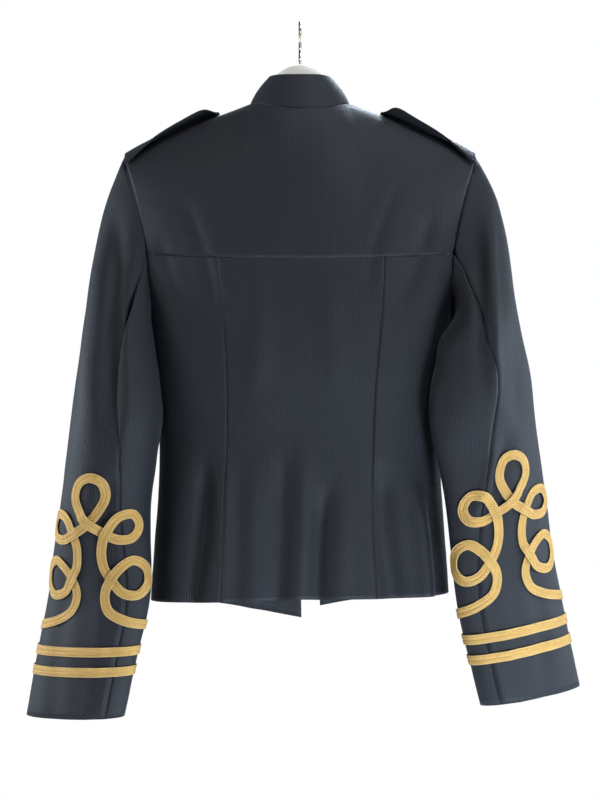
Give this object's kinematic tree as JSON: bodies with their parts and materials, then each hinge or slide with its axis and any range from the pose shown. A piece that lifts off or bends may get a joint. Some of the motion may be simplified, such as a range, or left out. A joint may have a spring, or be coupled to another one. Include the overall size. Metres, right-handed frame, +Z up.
{
  "type": "cropped jacket on a hanger",
  "caption": "Fitted dark cropped jacket with a stand collar, shoulder straps and gold braid knots and stripes on the cuffs, hung on a plain cream hanger.",
  "frame": {"origin": "inside top of the hanger's hook, where a rail bears", "axes": "+Z up; the jacket's back faces -Y and its front +Y; the wearer's right is +X; the rail would run along X"},
  "size_m": [0.5911, 0.1722, 0.7427],
  "materials": {
    "crepe": "matte fine-ribbed wool crepe, near-black navy",
    "braid": "flat woven metallic gold braid",
    "button": "plain domed",
    "hanger": "cream, satin",
    "hook": "polished wire"
  },
  "bodies": {
    "root": {"back_yoke": "crepe", "back_centre": "crepe", "back_side_left": "crepe", "back_side_right": "crepe", "front_left": "crepe", "front_right": "crepe", "top_sleeve_left": "crepe", "top_sleeve_right": "crepe", "under_sleeve_left": "crepe", "under_sleeve_right": "crepe", "collar": "crepe", "epaulette_left": "crepe", "epaulette_right": "crepe", "epaulette_button_left": "button", "epaulette_button_right": "button", "cuff_stripe_lower_left": "braid", "cuff_stripe_lower_right": "braid", "cuff_stripe_upper_left": "braid", "cuff_stripe_upper_right": "braid", "sleeve_knot_left": "braid", "sleeve_knot_right": "braid", "hanger": "hanger", "hanger_hook": "hook"}
  },
  "joints": []
}
